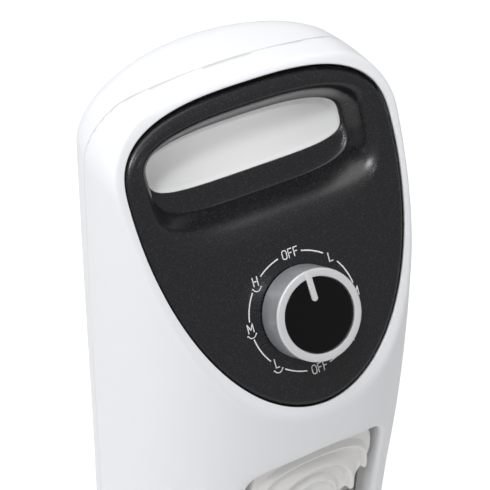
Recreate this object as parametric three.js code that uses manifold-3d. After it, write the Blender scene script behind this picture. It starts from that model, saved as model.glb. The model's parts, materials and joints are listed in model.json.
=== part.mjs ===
// A compact column heater: an oil-filled steel fin core in a two-part plastic shell that swings
// on a round base. Millimetres, +Z up, the front faces -Y, and the origin is the middle of the
// surface that the base stands on.
import * as THREE from "three";
import { mergeVertices } from "three/addons/utils/BufferGeometryUtils.js";
import Module from "manifold-3d";

const wasm = await Module();
wasm.setup();

// ---- Driving dimensions ----
const GAP = 0.3; // air between pieces that touch

// The control facet: a flat face leaning back at the top of the column, with the dial at its own origin.
const DIAL_Y = -54;
const DIAL_Z = 502;
const FACET_LEAN = (34 * Math.PI) / 180; // from the vertical

// The column, measured from the dial's centre: plan sections are superellipses.
const PLAN_POWER = 2.3;
const COLUMN_BOTTOM = 31 - DIAL_Z;
const TOP_RISE = 95.3; // top of the crown above the dial
const TOP_FALL = 0.08; // the crown drops this much per millimetre towards the back
const TOP_ARC = 302; // radius of the crown seen from the front
const EDGE_RADIUS = [24, 112]; // between crown and wall: at the front, at the back
const WALL = 2.5;
const COLUMN_SIDES = 40;
const SEAM_Y = DIAL_Y + 78; // the joint between the front and rear shells
const SCREW_HEIGHTS = [90, 470];
const SCREW_X = 34;
const LOUVRE = { half: 24, tall: 4, pitch: 9, count: 4, lows: [120, 390] }; // air slots in the back
const GLAND_RADIUS = 6;
const GLAND_Y = 82;
const GLAND_Z = 60;

// The control panel set into the facet: an oval with a flatter top.
const PANEL = { half: 69.1, middle: 72, down: 117.5, up: 38.5, upPower: 2.8, thick: 3 };
const POCKET = { half: 59, low: 49, high: 99, corner: 16 }; // mouth of the hand pocket on the panel
const GRIP_HOLE = { half: 51.3, low: 69.2, high: 93.7, corner: 9, depth: 16.5 };
// The cup behind the hole: its floor is level, so it rises across the facet towards the back.
const CUP = { half: 55.5, low: 64.5, rise: 9, high: 98, depth: 33, wall: 2 };

// The knob.
const KNOB_RADIUS = 22.2;
const KNOB_HEIGHT = 16;
const POINTER_TURN = 0.09; // radians, the pointer at rest stands a little before the off mark
const SHAFT_RADIUS = 3;

// The window and the oil core behind it.
const WINDOW = { half: 38, low: 66, high: 434, corner: 12, arch: 66, depth: 22 };
const FIN = { count: 5, pitch: 27, front: -71, thick: 10, low: 72, high: 428 };
const FIN_HALF_WIDTHS = [35, 52, 58, 58, 52];
const HEADER = { radius: 14, wall: 2, low: 100, high: 398, back: 50 };
const BEADS = [ // raised ovals on the front fin: half width, drop from the fin's ends, width of the ridge
  [31, 8, 2],
  [22.5, 17, 5],
  [14, 28, 2],
];
const GASKET_THICK = 1.5;
const FLANGE_THICK = 4;
const ELEMENT = { radius: 3.2, apart: 5.5, front: -50, back: 66 };
const CUTOUT_Z = 330;
const BAFFLE = { low: 446, high: 447.5 };

// The base and the swing drive.
const BASE_RADIUS = 135;
const BASE_TOP = 28;
const BASE_WALL = 2.5;
const PLATE = { radius: 131, low: 3.5, high: 6.5 };
const FOOT_HEIGHT = 3.2;
const FLOOR = { low: 38, high: 41 };
const SPINDLE_RADIUS = 12;
const CRANK_AXIS_Y = 38;
const CRANK_THROW = 19;
const MOTOR_SHAFT = 2.5;
const CRANK = { low: 32.5, high: 35.5, half: 7 };
const QUARTER_TURNS = [0.125, 0.375, 0.625, 0.875]; // of the base screws and the feet
const BASE_SCREW_RADIUS = 100;
const FOOT_CIRCLE = 118;
const BUSH = { inner: SPINDLE_RADIUS + 0.1, outer: 20, flange: 25, low: 22 };

// The tip-over switch: a sprung plunger that the floor holds up.
const TIP_SWITCH_Y = -48;
const PLUNGER = { rod: 3.5, collar: 6, collarLow: 11, collarHigh: 12.5, top: 18.7 };

// The wiring.
const LEAD_Y = 60;
const LEAD_X = [-40, -46];
const TERMINALS = { x: -46, y: 37, low: FLOOR.high + GAP, high: 55 };

// ---- Solids ----
// A closed geometry as a manifold-3d solid, moved by a matrix where one is given.
function solid(geometry, matrix) {
  const plain = geometry.index ? geometry.toNonIndexed() : geometry.clone();
  plain.deleteAttribute("normal");
  plain.deleteAttribute("uv");
  if (matrix) plain.applyMatrix4(matrix);
  const merged = mergeVertices(plain, 1e-3);
  const mesh = new wasm.Mesh({
    numProp: 3,
    vertProperties: merged.attributes.position.array,
    triVerts: new Uint32Array(merged.index.array),
  });
  return new wasm.Manifold(mesh);
}

// A manifold-3d solid as a three.js geometry with flat faces.
function geometryOf(shape) {
  const mesh = shape.getMesh();
  const indexed = new THREE.BufferGeometry();
  const places = new Float32Array(mesh.numVert * 3);
  for (let i = 0; i < mesh.numVert; i++) {
    places.set(mesh.vertProperties.subarray(i * mesh.numProp, i * mesh.numProp + 3), i * 3);
  }
  indexed.setAttribute("position", new THREE.BufferAttribute(places, 3));
  indexed.setIndex(new THREE.BufferAttribute(mesh.triVerts, 1));
  const flat = indexed.toNonIndexed();
  flat.computeVertexNormals();
  return flat;
}

// Profile points [radius, height] turned about +Z. The profile closes on itself or ends on the axis.
function turned(points, segments = 32) {
  const profile = points.map(([r, h]) => new THREE.Vector2(r, h));
  return new THREE.LatheGeometry(profile, segments).rotateX(Math.PI / 2);
}

function disc(radius, low, high, segments = 32) {
  return turned([[0, low], [radius, low], [radius, high], [0, high]], segments);
}

function ring(inner, outer, low, high, segments = 32) {
  return turned([[inner, low], [outer, low], [outer, high], [inner, high], [inner, low]], segments);
}

function box(x0, x1, y0, y1, z0, z1) {
  const geometry = new THREE.BoxGeometry(x1 - x0, y1 - y0, z1 - z0);
  return geometry.translate((x0 + x1) / 2, (y0 + y1) / 2, (z0 + z1) / 2);
}

// A flat outline raised from z = low to z = high.
function raised(shape, low, high, curveSegments = 4) {
  const options = { depth: high - low, bevelEnabled: false, curveSegments };
  return new THREE.ExtrudeGeometry(shape, options).translate(0, 0, low);
}

// An outline drawn in X and Z, given its thickness from y = front to y = back.
function upright(shape, front, back, curveSegments = 4) {
  return raised(shape, -back, -front, curveSegments).rotateX(Math.PI / 2);
}

function roundedShape(half, low, high, corner) {
  const shape = new THREE.Shape();
  shape.moveTo(-half + corner, low);
  shape.lineTo(half - corner, low);
  shape.absarc(half - corner, low + corner, corner, -Math.PI / 2, 0);
  shape.lineTo(half, high - corner);
  shape.absarc(half - corner, high - corner, corner, 0, Math.PI / 2);
  shape.lineTo(-half + corner, high);
  shape.absarc(-half + corner, high - corner, corner, Math.PI / 2, Math.PI);
  shape.lineTo(-half, low + corner);
  shape.absarc(-half + corner, low + corner, corner, Math.PI, Math.PI * 1.5);
  return shape;
}

// A closed skin through rings of the same number of points, listed from the bottom up and counter-clockwise.
function lofted(rings) {
  const count = rings[0].length;
  const points = rings.flat();
  const faces = [];
  for (let row = 0; row < rings.length - 1; row++) {
    for (let k = 0; k < count; k++) {
      const a = row * count + k;
      const b = row * count + ((k + 1) % count);
      faces.push(a, b, b + count, a, b + count, a + count);
    }
  }
  const last = (rings.length - 1) * count;
  const middle = (from) => {
    const sum = new THREE.Vector3();
    for (let k = 0; k < count; k++) sum.add(points[from + k]);
    return sum.divideScalar(count);
  };
  const bottom = points.push(middle(0)) - 1;
  const top = points.push(middle(last)) - 1;
  for (let k = 0; k < count; k++) {
    const next = (k + 1) % count;
    faces.push(bottom, next, k, top, last + k, last + next);
  }
  const geometry = new THREE.BufferGeometry().setFromPoints(points);
  return geometry.setIndex(faces);
}

// ---- The column's outer form ----
const smoothStep = (t) => THREE.MathUtils.smoothstep(t, 0, 1);

// Half width and front and back of the plan section at a height above the dial.
function planAt(z) {
  const bend = -1.2; // below this the wall runs on almost straight
  const t = Math.max(z / 100, bend);
  const below = Math.min(z / 100 - bend, 0);
  const u = t - 0.25 * (1 - Math.exp(below / 0.25));
  const front = -25.4 + 9.06 * u + 6.24 * u * u;
  const back = 137.2 + 0.67 * u;
  return { half: 75.6 - 0.54 * u - 1.09 * u * u, middle: (front + back) / 2, deep: (back - front) / 2 };
}

// Signed distance, negative inside, to two faces that meet in an edge rounded by a radius.
function roundedMeet(f, g, radius) {
  const corner = Math.hypot(Math.max(f + radius, 0), Math.max(g + radius, 0));
  return Math.min(Math.max(f, g), -radius) + corner;
}

// Signed distance to the column without its facet, measured from the dial's centre.
function columnAt(x, y, z) {
  const plan = planAt(z);
  const across = Math.abs(x / plan.half) ** PLAN_POWER;
  const along = Math.abs((y - plan.middle) / plan.deep) ** PLAN_POWER;
  const wall = (((across + along) ** (1 / PLAN_POWER) - 1) * (plan.half + plan.deep)) / 2;
  const crown = z - (TOP_RISE - TOP_FALL * (y - 62) - (x * x) / (2 * TOP_ARC));
  const toBack = smoothStep((y - 90) / 60);
  const radius = THREE.MathUtils.lerp(EDGE_RADIUS[0], EDGE_RADIUS[1], toBack);
  return roundedMeet(wall, crown, radius);
}

// The plan section at a height above the dial, shrunk by an inset, in the part's own frame.
function columnRing(z, inset, count) {
  const rise = smoothStep((z - 20) / (TOP_RISE - 20));
  const axisY = THREE.MathUtils.lerp(56, 76, rise);
  const points = [];
  for (let k = 0; k < count; k++) {
    const angle = (k / count) * Math.PI * 2;
    const [c, s] = [Math.cos(angle), Math.sin(angle)];
    let low = 0;
    let high = 120;
    while (high - low > 0.001) {
      const r = (low + high) / 2;
      if (columnAt(r * c, axisY + r * s, z) + inset < 0) low = r;
      else high = r;
    }
    points.push(new THREE.Vector3(low * c, axisY + low * s + DIAL_Y, z + DIAL_Z));
  }
  return points;
}

// The column's solid form at an inset from its outer surface, cut by the facet.
function columnForm(inset, bottom, count) {
  let crownTop = 40;
  while (columnAt(0, 76, crownTop + 0.1) + inset < 0) crownTop += 0.1;
  const heights = [bottom, -170, -120, -70, -25, 20];
  const steps = 7;
  for (let i = 1; i <= steps; i++) {
    heights.push(20 + (crownTop - 20.2) * Math.sin((i / steps) * Math.PI * 0.5));
  }
  const form = solid(lofted(heights.map((z) => columnRing(z, inset, count))));
  const above = solid(box(-150, 150, -150, 150, -inset, 200), facetMatrix);
  return form.subtract(above);
}

// ---- The facet's own frame: X across, Y up the slope, Z out of the face ----
const facet = new THREE.Group();
facet.position.set(0, DIAL_Y, DIAL_Z);
facet.rotation.x = Math.PI / 2 - FACET_LEAN;
facet.updateMatrixWorld(true);
const facetMatrix = facet.matrixWorld.clone();

// The panel's outline, grown by a margin: half an ellipse below its widest line, a squarer half above.
function panelShape(grow, count = 60) {
  const points = [];
  for (let k = 0; k < count; k++) {
    const angle = (k / count) * Math.PI * 2;
    const [c, s] = [Math.cos(angle), Math.sin(angle)];
    const power = s > 0 ? PANEL.upPower : 2;
    const reach = s > 0 ? PANEL.up : PANEL.down;
    const x = Math.sign(c) * Math.abs(c) ** (2 / power) * (PANEL.half + grow);
    const y = PANEL.middle + Math.sign(s) * Math.abs(s) ** (2 / power) * (reach + grow);
    points.push(new THREE.Vector2(x, y));
  }
  return new THREE.Shape(points);
}

// One ring of a rounded rectangle on the facet at a height above it.
function facetRing(half, low, high, corner, z, perCorner = 5) {
  const centres = [
    [half - corner, low + corner, -0.5],
    [half - corner, high - corner, 0],
    [-half + corner, high - corner, 0.5],
    [-half + corner, low + corner, 1],
  ];
  const points = [];
  for (const [x, y, start] of centres) {
    for (let i = 0; i <= perCorner; i++) {
      const angle = (start + (0.5 * i) / perCorner) * Math.PI;
      points.push(new THREE.Vector3(x + corner * Math.cos(angle), y + corner * Math.sin(angle), z));
    }
  }
  return points;
}

// ---- Shell ----
function windowShape(grow) {
  const top = WINDOW.high + grow;
  const half = WINDOW.half + grow;
  const corner = WINDOW.corner + grow;
  const shoulder = top - (half - corner) ** 2 / (2 * WINDOW.arch);
  const shape = new THREE.Shape();
  shape.moveTo(-half + corner, WINDOW.low - grow);
  shape.lineTo(half - corner, WINDOW.low - grow);
  shape.absarc(half - corner, WINDOW.low - grow + corner, corner, -Math.PI / 2, 0);
  shape.lineTo(half, shoulder - corner);
  shape.absarc(half - corner, shoulder - corner, corner, 0, Math.PI / 2);
  shape.quadraticCurveTo(0, 2 * top - shoulder, -half + corner, shoulder);
  shape.absarc(-half + corner, shoulder - corner, corner, Math.PI / 2, Math.PI);
  shape.lineTo(-half, WINDOW.low - grow + corner);
  shape.absarc(-half + corner, WINDOW.low - grow + corner, corner, Math.PI, Math.PI * 1.5);
  return shape;
}

// Places of the screws that hold the shells together: on the rear face, pointing forwards.
function shellScrewPlaces() {
  const places = [];
  for (const z of SCREW_HEIGHTS) {
    for (const x of [-SCREW_X, SCREW_X]) {
      const plan = planAt(z - DIAL_Z);
      const share = (1 - Math.abs(x / plan.half) ** PLAN_POWER) ** (1 / PLAN_POWER);
      places.push([x, DIAL_Y + plan.middle + plan.deep * share, z]);
    }
  }
  return places;
}

// A solid of revolution along +Z turned to run along +Y from a place.
function alongY(geometry, x, y, z) {
  return geometry.clone().rotateX(-Math.PI / 2).translate(x, y, z);
}

function shellBody() {
  const outer = columnForm(0, COLUMN_BOTTOM, COLUMN_SIDES);
  const inner = columnForm(WALL, COLUMN_BOTTOM - 5, COLUMN_SIDES);
  const wall = solid(upright(windowShape(2.2), -90, DIAL_Y - 25.4 + WINDOW.depth));
  const open = solid(upright(windowShape(0), -100, 0));
  const panelHole = solid(raised(panelShape(GAP), -30, 30), facetMatrix);
  return outer.subtract(inner).add(outer.intersect(wall)).subtract(open).subtract(panelHole);
}

function frontShell(body) {
  const behind = solid(box(-100, 100, SEAM_Y - GAP / 2, 200, 0, 700));
  return body.subtract(behind);
}

function rearShell(body) {
  let shell = body.subtract(solid(box(-100, 100, -200, SEAM_Y + GAP / 2, 0, 700)));
  for (const [x, y, z] of shellScrewPlaces()) {
    const boss = solid(alongY(disc(5, -14, -1.5, 12), x, y, z));
    const well = solid(alongY(disc(4.3, -4, 4, 16), x, y, z));
    const hole = solid(alongY(disc(1.9, -20, 4, 12), x, y, z));
    const seat = solid(alongY(disc(6, -6, -1.5, 12), x, y, z));
    shell = shell.add(boss).add(seat).subtract(well).subtract(hole);
  }
  for (const z of LOUVRE.lows.flatMap(louvreRows)) {
    const slot = box(-LOUVRE.half, LOUVRE.half, SEAM_Y + 20, 150, z, z + LOUVRE.tall);
    shell = shell.subtract(solid(slot));
  }
  return shell.subtract(solid(alongY(disc(GLAND_RADIUS + GAP, -20, 20, 20), 0, GLAND_Y, GLAND_Z)));
}

// Heights of a stack of air slots in the back.
function louvreRows(low) {
  return Array.from({ length: LOUVRE.count }, (_, i) => low + i * LOUVRE.pitch);
}

function cableGland() {
  const profile = [
    [3.6, -10], [GLAND_RADIUS, -10], [GLAND_RADIUS, 0.6], [9, 0.6], [8, 3], [5.2, 7], [3.6, 7],
    [3.6, -10],
  ];
  return alongY(turned(profile, 20), 0, GLAND_Y, GLAND_Z);
}

function shellScrew() {
  const shank = [[0, -13], [1.5, -13], [1.5, -3.4]];
  return turned([...shank, [3.6, -3.4], [3.6, -1.8], [2.2, -1.2], [0, -1.2]], 12);
}

// ---- Control panel and hand pocket, in the facet's frame ----
function controlPanel() {
  const face = -0.4;
  const plate = solid(raised(panelShape(0), face - PANEL.thick, face));
  const barBlock = solid(box(-54, 54, 93, 120, -12, 0));
  const bar = solid(raised(panelShape(-2), -12, -2)).intersect(barBlock);
  const h = GRIP_HOLE;
  const mouth = POCKET;
  const funnelOut = solid(lofted([
    facetRing(h.half + 2, h.low - 2, h.high + 2, h.corner + 1, -h.depth),
    facetRing(h.half + 3, mouth.low + 10, h.high + 3, h.corner + 3, -h.depth * 0.72),
    facetRing(mouth.half - 1, mouth.low + 1, mouth.high + 1, mouth.corner, -2),
  ]));
  const funnelIn = solid(lofted([
    facetRing(h.half, h.low, h.high, h.corner, -h.depth - 5),
    facetRing(h.half, h.low, h.high, h.corner, -h.depth),
    facetRing(h.half + 1, mouth.low + 12, h.high, h.corner + 3, -h.depth * 0.72),
    facetRing(mouth.half - 3, mouth.low + 2, mouth.high - 3, mouth.corner, -2.5),
    facetRing(mouth.half, mouth.low, mouth.high - 2, mouth.corner, face + 0.4),
    facetRing(mouth.half, mouth.low, mouth.high - 2, mouth.corner, 5),
  ]));
  const shaftHole = solid(disc(SHAFT_RADIUS + GAP, -10, 5, 24));
  return plate.add(bar).add(funnelOut).subtract(funnelIn).subtract(shaftHole);
}

function handPocket() {
  const from = -GRIP_HOLE.depth - GAP;
  const { half, low, rise, high, depth, wall } = CUP;
  const outer = solid(lofted([
    facetRing(half - 3, low + rise + 2, high - 1, 8, -depth),
    facetRing(half, low + rise - 3, high + 1, 10, -depth + 3),
    facetRing(half, low, high, 12, from),
  ]));
  const inner = solid(lofted([
    facetRing(half - 3 - wall, low + rise + 2 + wall, high - 1 - wall, 7, -depth + wall),
    facetRing(half - wall, low + rise - 3 + wall, high + 1 - wall, 9, -depth + 3 + wall),
    facetRing(half - wall, low + wall, high - wall, 10, from),
    facetRing(half - wall, low + wall, high - wall, 10, from + 5),
  ]));
  return outer.subtract(inner);
}

// ---- Knob and rotary switch, in the facet's frame ----
function knobSkirt() {
  const r = KNOB_RADIUS;
  const top = KNOB_HEIGHT;
  return turned([
    [r - 2, 0.6], [r, 0.6], [r - 0.3, top - 2.4], [r - 0.8, top - 0.6], [r - 1.7, top], [18.2, top],
    [18.2, top - 3.2], [4.4, top - 3.2], [4.4, top - 6], [r - 3.4, top - 6], [r - 2, 0.6],
  ], 40);
}

function knobDisc() {
  const top = KNOB_HEIGHT;
  const profile = [[0, top - 2.9], [17.9, top - 2.9], [17.9, top - 1], [17.3, top - 0.6], [0, top - 0.3]];
  return turned(profile, 40);
}

function knobPointer() {
  return box(-1.4, 1.4, 7, 17.6, KNOB_HEIGHT, KNOB_HEIGHT + 0.5);
}

function knobShaft() {
  return disc(SHAFT_RADIUS, -18, KNOB_HEIGHT - 3.5, 24);
}

function switchBody() {
  const body = solid(box(-16, 16, -16, 16, -24, -3.4 - GAP));
  return body.subtract(solid(disc(SHAFT_RADIUS + GAP, -18.6, 0, 24)));
}

// ---- Oil core ----
const finFront = (index) => FIN.front + index * FIN.pitch;

// A fin: a flat seam round a hollow, pressed-out middle, with a port to each header.
function oilFin(index) {
  const half = FIN_HALF_WIDTHS[index];
  const front = finFront(index);
  const back = front + FIN.thick;
  const mid = (front + back) / 2;
  const plate = (inset, corner, from, to) => {
    const outline = roundedShape(half - inset, FIN.low + inset, FIN.high - inset, corner);
    return solid(upright(outline, from, to, 3));
  };
  const seam = plate(0, 16, mid - 0.9, mid + 0.9);
  let fin = seam.add(plate(5, 14, front, back)).subtract(plate(6, 13, front + 1, back - 1));
  for (const z of [HEADER.low, HEADER.high]) {
    const from = index === 0 ? 5 : -5;
    const port = disc(HEADER.radius + GAP, from, FIN.thick + 5, 16);
    fin = fin.subtract(solid(alongY(port, 0, front, z)));
  }
  return fin;
}

// Raised ovals pressed into the front fin, one inside the other.
function finBeads() {
  return BEADS.map(([half, drop, width]) => {
    const oval = (inset) => {
      const reach = drop + inset;
      return roundedShape(half - inset, FIN.low + reach, FIN.high - reach, (half - inset) * 0.9);
    };
    const outline = oval(0);
    outline.holes.push(oval(width));
    return solid(upright(outline, FIN.front - 1.5, FIN.front + 0.5));
  });
}

function frontFin() {
  return finBeads().reduce((fin, bead) => fin.add(bead), oilFin(0));
}

function header(z, front) {
  const r = HEADER.radius;
  const collar = [[r - HEADER.wall, HEADER.back], [r - HEADER.wall, front], [r, front], [r, HEADER.back - 2]];
  const profile = [...collar, [20, HEADER.back - 2], [20, HEADER.back], [r - HEADER.wall, HEADER.back]];
  return alongY(turned(profile, 24), 0, 0, z);
}

function fillerPlug() {
  const from = HEADER.back + GAP;
  const profile = [
    [0, from - 12], [9, from - 12], [9, from - 10], [11.6, from - 10], [11.6, from], [19, from],
    [19, from + 3], [9, from + 3], [9, from + 9], [0, from + 9],
  ];
  return alongY(turned(profile, 24), 0, 0, HEADER.high);
}

function flangeGasket() {
  const from = HEADER.back + GAP;
  return alongY(ring(12.5, 20, from, from + GASKET_THICK, 24), 0, 0, HEADER.low);
}

function elementFlange() {
  const from = HEADER.back + GASKET_THICK + 2 * GAP;
  let flange = solid(alongY(disc(20, from, from + FLANGE_THICK, 24), 0, 0, HEADER.low));
  for (const side of [-1, 1]) {
    const z = HEADER.low + side * ELEMENT.apart;
    flange = flange.subtract(solid(alongY(disc(ELEMENT.radius + GAP, 40, 80, 12), 0, 0, z)));
  }
  return flange;
}

// A tube of a round section along a curve.
function tube(curve, radius, steps, sides) {
  const section = new THREE.Shape();
  for (let k = 0; k < sides; k++) {
    const angle = (k / sides) * Math.PI * 2;
    section[k ? "lineTo" : "moveTo"](radius * Math.cos(angle), radius * Math.sin(angle));
  }
  return new THREE.ExtrudeGeometry(section, { steps, extrudePath: curve, bevelEnabled: false });
}

// The heating element is a hairpin inside the lower header, with both ends through the flange.
function heatingElement() {
  const a = ELEMENT.apart;
  const path = new THREE.CurvePath();
  const point = (y, z) => new THREE.Vector3(0, y, HEADER.low + z);
  path.add(new THREE.LineCurve3(point(ELEMENT.back, -a), point(ELEMENT.front + a, -a)));
  const turn = [0.25, 0.5, 0.75].map((t) => {
    return point(ELEMENT.front + a - a * Math.sin(t * Math.PI), -a * Math.cos(t * Math.PI));
  });
  path.add(new THREE.CatmullRomCurve3([point(ELEMENT.front + a, -a), ...turn, point(ELEMENT.front + a, a)]));
  path.add(new THREE.LineCurve3(point(ELEMENT.front + a, a), point(ELEMENT.back, a)));
  return tube(path, ELEMENT.radius, 24, 8);
}

function thermalCutout() {
  const from = finFront(FIN.count - 1) + FIN.thick + GAP;
  const profile = [[0, from], [9, from], [9, from + 5], [7, from + 7], [0, from + 7]];
  return alongY(turned(profile, 20), 0, 0, CUTOUT_Z);
}

// ---- Frame inside the column ----
// A level plate that fills the column's plan at a height.
function levelPlate(low, high, margin) {
  const outline = (z) => columnRing(low - DIAL_Z, WALL + margin, 32).map((p) => p.clone().setZ(z));
  return solid(lofted([outline(low), outline(high)]));
}

function heatBaffle() {
  let plate = levelPlate(BAFFLE.low, BAFFLE.high, 1);
  for (const x of LEAD_X) {
    plate = plate.subtract(solid(disc(3.4, 440, 450, 12).translate(x, LEAD_Y, 0)));
  }
  return plate;
}

function topBracket() {
  const strap = solid(box(-20, 20, -40, 47, FIN.high + GAP, BAFFLE.low - GAP));
  return strap.subtract(solid(box(-17, 17, -60, 60, FIN.high + 2 + GAP, BAFFLE.low - 2 - GAP)));
}

function bottomBracket() {
  const body = solid(box(-50, 50, -30, 30, FLOOR.high + GAP, FIN.low - GAP));
  const inside = solid(box(-48, 48, -60, 60, FLOOR.high - 5, FIN.low - 2 - GAP));
  const feet = [-1, 1].map((side) => {
    const inner = side * 48;
    const outer = side * 58;
    const low = FLOOR.high + GAP;
    return solid(box(Math.min(inner, outer), Math.max(inner, outer), -12, 12, low, low + 2));
  });
  return feet.reduce((made, foot) => made.add(foot), body.subtract(inside));
}

function columnFloor() {
  let floor = levelPlate(FLOOR.low, FLOOR.high, 0.4);
  floor = floor.add(solid(disc(26, BASE_TOP + 3.3, FLOOR.low + 1, 32)));
  floor = floor.subtract(solid(disc(SPINDLE_RADIUS + 0.4, 0, 60, 32)));
  floor = floor.subtract(solid(disc(MOTOR_SHAFT + 0.5, 0, 60, 16).translate(0, CRANK_AXIS_Y, 0)));
  for (const x of [-52, -44, 44, 52]) {
    floor = floor.subtract(solid(box(x - 2, x + 2, -20, 16, 0, 60)));
  }
  return floor;
}

function spindle() {
  const r = SPINDLE_RADIUS;
  const flange = FLOOR.high + GAP;
  return turned([
    [r - 3, 13], [r, 13], [r, flange], [17.5, flange], [17.5, flange + 2.5], [r, flange + 2.5],
    [r, flange + 5], [r - 3, flange + 5], [r - 3, 13],
  ], 32);
}

function retainingRing() {
  return ring(SPINDLE_RADIUS + GAP, 22, 18.5, 21, 32);
}

// ---- Swing drive ----
function swingMotor() {
  const low = FLOOR.high + GAP;
  const can = solid(turned([[0, low], [20, low], [20, low + 18], [18, low + 20], [0, low + 17]], 32));
  const bore = solid(disc(MOTOR_SHAFT + GAP, low - 5, low + 6, 16));
  return can.subtract(bore).translate([0, CRANK_AXIS_Y, 0]);
}

// The arm turns on the motor's shaft, which is fixed in it, and carries the pin at its other end.
function crankArm() {
  const shape = new THREE.Shape();
  shape.absarc(0, 0, CRANK.half, Math.PI, Math.PI * 2);
  shape.absarc(0, CRANK_THROW, CRANK.half, 0, Math.PI);
  const arm = solid(raised(shape, CRANK.low, CRANK.high, 10));
  const shaft = solid(disc(MOTOR_SHAFT, CRANK.high - 1, FLOOR.high + 5, 16));
  const hole = solid(disc(2.8, 0, 60, 16).translate(0, CRANK_THROW, 0));
  return arm.add(shaft).subtract(hole);
}

function crankPin() {
  const head = CRANK.high + GAP;
  return turned([[0, 20], [2.5, 20], [2.5, head], [4, head], [4, 37.2], [0, 37.2]], 16);
}

// ---- Base ----
function onCircle(radius, turn) {
  const angle = turn * Math.PI * 2;
  return [radius * Math.cos(angle), radius * Math.sin(angle)];
}

// Height of the base cover's outer surface at a radius.
function domeAt(r) {
  const out = (r - 66) / (BASE_RADIUS - 66);
  return 12 + (BASE_TOP - 12) * Math.cos((out * Math.PI) / 2) ** 0.8;
}

function baseCover() {
  const outer = [];
  const inner = [];
  const steps = 5;
  for (let i = 0; i <= steps; i++) {
    const r = 66 + (BASE_RADIUS - 66) * Math.sin(((i / steps) * Math.PI) / 2);
    outer.push([r, domeAt(r)]);
    const under = Math.min(r, BASE_RADIUS - BASE_WALL);
    inner.push([under, Math.max(domeAt(r) - BASE_WALL, 9)]);
  }
  const bore = BUSH.outer + GAP;
  const profile = [
    [bore, BASE_TOP - BASE_WALL], ...inner, [BASE_RADIUS - BASE_WALL, 2], [BASE_RADIUS, 2],
    ...outer.reverse(), [bore, BASE_TOP], [bore, BASE_TOP - BASE_WALL],
  ];
  let cover = solid(turned(profile, 40));
  const slotShape = roundedShape(4.6, 33, 63, 4.5);
  cover = cover.subtract(solid(raised(slotShape, 0, 60, 4)));
  for (const turn of QUARTER_TURNS) {
    const [x, y] = onCircle(BASE_SCREW_RADIUS, turn);
    const post = solid(disc(4.5, PLATE.high + GAP, domeAt(BASE_SCREW_RADIUS) - 1.5, 12).translate(x, y, 0));
    const hole = solid(disc(1.7, 0, 15, 10).translate(x, y, 0));
    cover = cover.add(post).subtract(hole);
  }
  return cover;
}

function swivelBush() {
  const seat = BASE_TOP + GAP;
  return turned([
    [BUSH.inner, BUSH.low], [BUSH.outer, BUSH.low], [BUSH.outer, seat], [BUSH.flange, seat],
    [BUSH.flange, seat + 2.5], [BUSH.inner, seat + 2.5], [BUSH.inner, BUSH.low],
  ], 32);
}

function basePlate() {
  let plate = solid(ring(26, PLATE.radius, PLATE.low, PLATE.high, 40));
  plate = plate.subtract(solid(disc(PLUNGER.rod + 0.5, 0, 20, 16).translate(0, TIP_SWITCH_Y, 0)));
  for (const turn of QUARTER_TURNS) {
    const [x, y] = onCircle(BASE_SCREW_RADIUS, turn);
    plate = plate.subtract(solid(disc(1.9, 0, 20, 10).translate(x, y, 0)));
  }
  return plate;
}

function foot() {
  return turned([[0, 0], [9.5, 0], [11, 1], [11, FOOT_HEIGHT], [0, FOOT_HEIGHT]], 20);
}

function baseScrew() {
  return turned([[0, 1.2], [3, 1.2], [3.4, 3.2], [1.4, 3.2], [1.4, 13], [0, 13]], 12);
}

// The plunger's collar carries the spring.
function tipPlunger() {
  const p = PLUNGER;
  return turned([
    [0, 0], [2.8, 0], [p.rod, 0.8], [p.rod, p.collarLow], [p.collar, p.collarLow],
    [p.collar, p.collarHigh], [p.rod, p.collarHigh], [p.rod, p.top], [0, p.top],
  ], 20);
}

function plungerSpring() {
  const low = PLUNGER.collarHigh + 0.8;
  const high = PLUNGER.top - 0.4;
  const turns = 3;
  const points = [];
  for (let i = 0; i <= turns * 10; i++) {
    const angle = (i / 10) * Math.PI * 2;
    const z = THREE.MathUtils.lerp(low, high, i / (turns * 10));
    points.push(new THREE.Vector3(4.7 * Math.cos(angle), 4.7 * Math.sin(angle), z));
  }
  return tube(new THREE.CatmullRomCurve3(points), 0.4, turns * 10, 5);
}

function tipSwitch() {
  return box(-10, 10, -6, 6, PLUNGER.top + GAP, 25.2);
}

// ---- Wiring ----
function terminalBlock() {
  const block = solid(box(-12, 12, -7, 7, 0, TERMINALS.high - TERMINALS.low));
  const groove = solid(box(-0.6, 0.6, -10, 10, 8, 20));
  let made = block;
  for (const x of [-6, 0, 6]) made = made.subtract(groove.translate([x, 0, 0]));
  return made.translate([TERMINALS.x, TERMINALS.y, TERMINALS.low]);
}

// A lead from the rotary switch down behind the core to the terminals.
function lead(x, start, terminal) {
  const points = [
    [start, -22, 478], [x * 0.6, 20, 466], [x, LEAD_Y - 6, 456], [x, LEAD_Y, 440], [x, LEAD_Y, 300],
    [x, LEAD_Y, 120], [x, LEAD_Y - 2, 84], [x, TERMINALS.y + 8, 66], [terminal, TERMINALS.y, 56.5],
  ];
  const path = points.map((p) => new THREE.Vector3(...p));
  return tube(new THREE.CatmullRomCurve3(path, false, "centripetal"), 1.5, 26, 6);
}

// ---- Materials ----
function finish(color, roughness, metalness = 0) {
  return new THREE.MeshStandardMaterial({ color, roughness, metalness });
}

const whitePlastic = finish(0xf3f4f5, 0.35);
const panelPlastic = finish(0x2b2b2d, 0.4);
const silverPlastic = finish(0xa4a5a7, 0.38, 0.4);
const glossBlack = finish(0x0a0a0b, 0.12);
const finEnamel = finish(0xcdcbc6, 0.5);
const innerSteel = finish(0x9a9b9c, 0.45, 0.9);
const blackPlastic = finish(0x1c1c1d, 0.55);
const acetal = finish(0xe6e3da, 0.5);
const rubber = finish(0x181818, 0.85);
const brass = finish(0xb8974e, 0.35, 1);
const leadSheath = finish(0x6a3a22, 0.6);

// ---- Assembly ----
const heater = new THREE.Group();

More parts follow.
